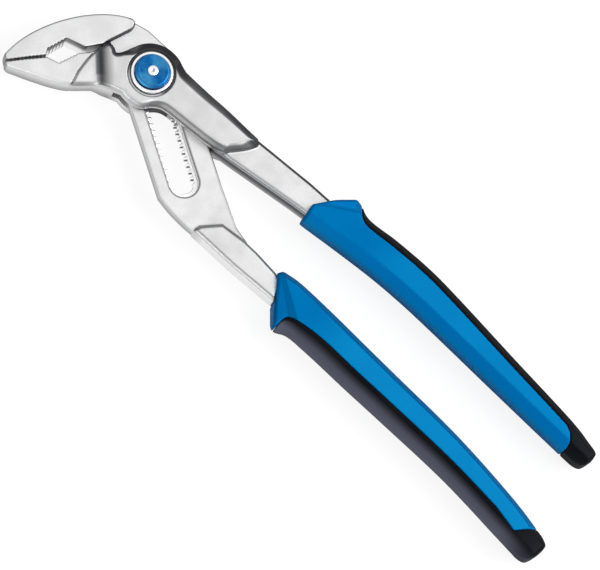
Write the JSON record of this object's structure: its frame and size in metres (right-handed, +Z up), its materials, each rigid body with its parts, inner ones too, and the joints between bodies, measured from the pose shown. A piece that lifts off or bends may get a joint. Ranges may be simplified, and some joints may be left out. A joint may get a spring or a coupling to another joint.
{
  "type": "water pump pliers",
  "caption": "Push-button adjustable pliers: box joint with a toothed slot and bolt, serrated curved jaws, sprung release button and two-component grips, lying flat.",
  "frame": {"origin": "on the bolt axis, in the surface that the tool lies on with its button up", "axes": "+X from the jaws to the grip ends, +Y across the tool to the side of the button arm, +Z up, the way the button faces"},
  "size_m": [0.248, 0.0646, 0.0195],
  "materials": {
    "satin_steel": "satin",
    "bright_steel": "polished",
    "spring_steel": "drawn wire",
    "button_blue": "turned and anodised",
    "shell_blue": "moulded, satin",
    "soft_black": "matt, fine grain"
  },
  "bodies": {
    "arm_with_button": {"button_arm": "satin_steel", "button_collar": "bright_steel", "upper_grip_shell": "shell_blue", "upper_grip_soft": "soft_black"},
    "pivot_seat": {"thrust_washer": "satin_steel", "return_spring": "spring_steel"},
    "arm_with_slot": {"slotted_arm": "satin_steel", "lower_grip_shell": "shell_blue", "lower_grip_soft": "soft_black"},
    "bolt_and_button": {"toothed_bolt": "bright_steel", "push_button": "button_blue"}
  },
  "joints": [
    {"name": "pivot", "type": "hinge", "parent": "arm_with_button", "child": "pivot_seat", "pos_m": [0, 0, 0], "axis": [0, 0, -1], "range_deg": [0, 36]},
    {"name": "adjust", "type": "slide", "parent": "pivot_seat", "child": "arm_with_slot", "axis": [-0.8241, 0.5664, 0], "range_m": [0, 0.0288]},
    {"name": "button_press", "type": "slide", "parent": "pivot_seat", "child": "bolt_and_button", "axis": [0, 0, -1], "range_m": [0, 0.0026], "stiffness_N_per_m": 600, "springref_m": -0.001, "deforming": ["return_spring"]}
  ]
}
